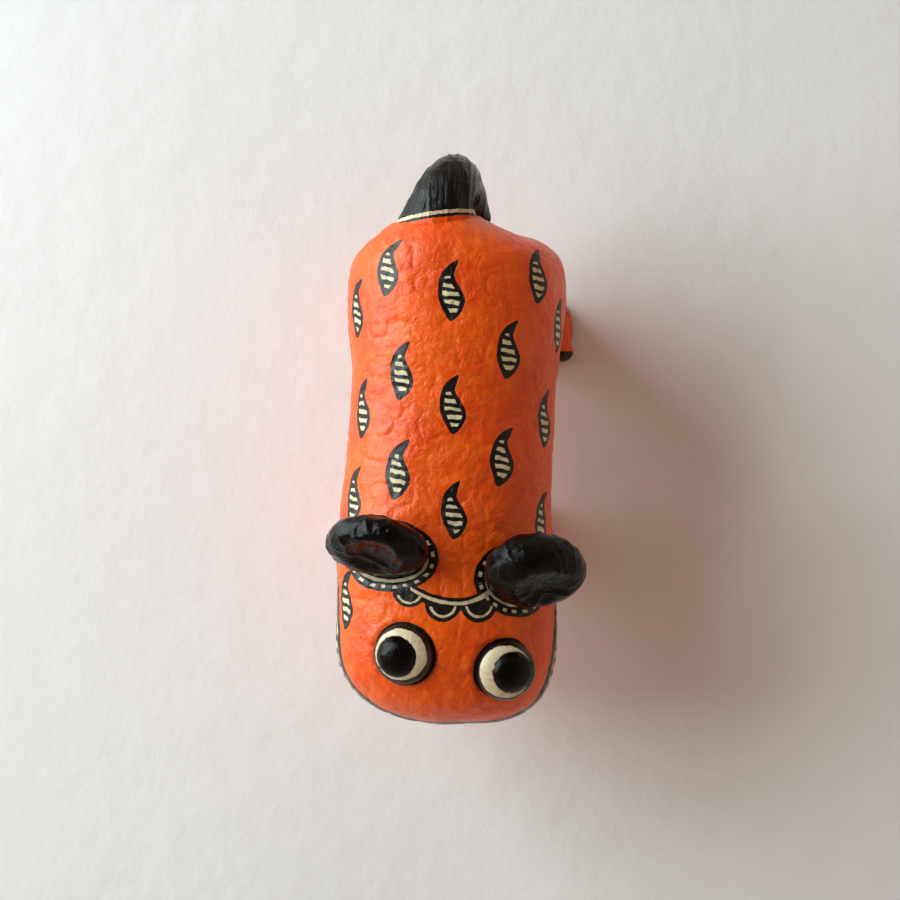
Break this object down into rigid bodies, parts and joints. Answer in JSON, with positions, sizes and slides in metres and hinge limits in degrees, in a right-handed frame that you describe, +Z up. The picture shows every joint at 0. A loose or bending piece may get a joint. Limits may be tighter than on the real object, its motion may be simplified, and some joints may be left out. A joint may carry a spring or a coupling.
{
  "type": "alebrije animal figure",
  "caption": "Hollow papier-mache folk-art animal standing on short legs, orange with painted teardrop spots, black paddle ears, domed eyes and a hooked black tail.",
  "frame": {"origin": "on the ground plane under the middle of the whole figure's bounding box", "axes": "+Z up from the soles; -Y towards the nose and +Y towards the tail; +X towards the animal's own left side"},
  "size_m": [0.0908, 0.2005, 0.1114],
  "materials": {
    "orange_paint": "gloss",
    "black_paint": "gloss",
    "cream_paint": "gloss",
    "wire": "satin",
    "tie_wire": "satin",
    "reed": "matte"
  },
  "bodies": {
    "root": {"back_shell": "orange_paint", "belly_shell": "orange_paint", "seam_strip": "orange_paint", "ear_left": "black_paint", "ear_right": "black_paint", "eye_left": "cream_paint", "eye_right": "cream_paint", "pupil_left": "black_paint", "pupil_right": "black_paint", "tail": "black_paint", "leg_front_left": "orange_paint", "leg_front_right": "orange_paint", "leg_hind_left": "orange_paint", "leg_hind_right": "orange_paint", "paw_front_left": "orange_paint", "paw_front_right": "orange_paint", "paw_hind_left": "orange_paint", "paw_hind_right": "orange_paint", "spine_wire": "wire", "front_leg_wire": "wire", "hind_leg_wire": "wire", "front_tie_wire": "tie_wire", "hind_tie_wire": "tie_wire", "ear_peg_left": "reed", "ear_peg_right": "reed"}
  },
  "joints": []
}
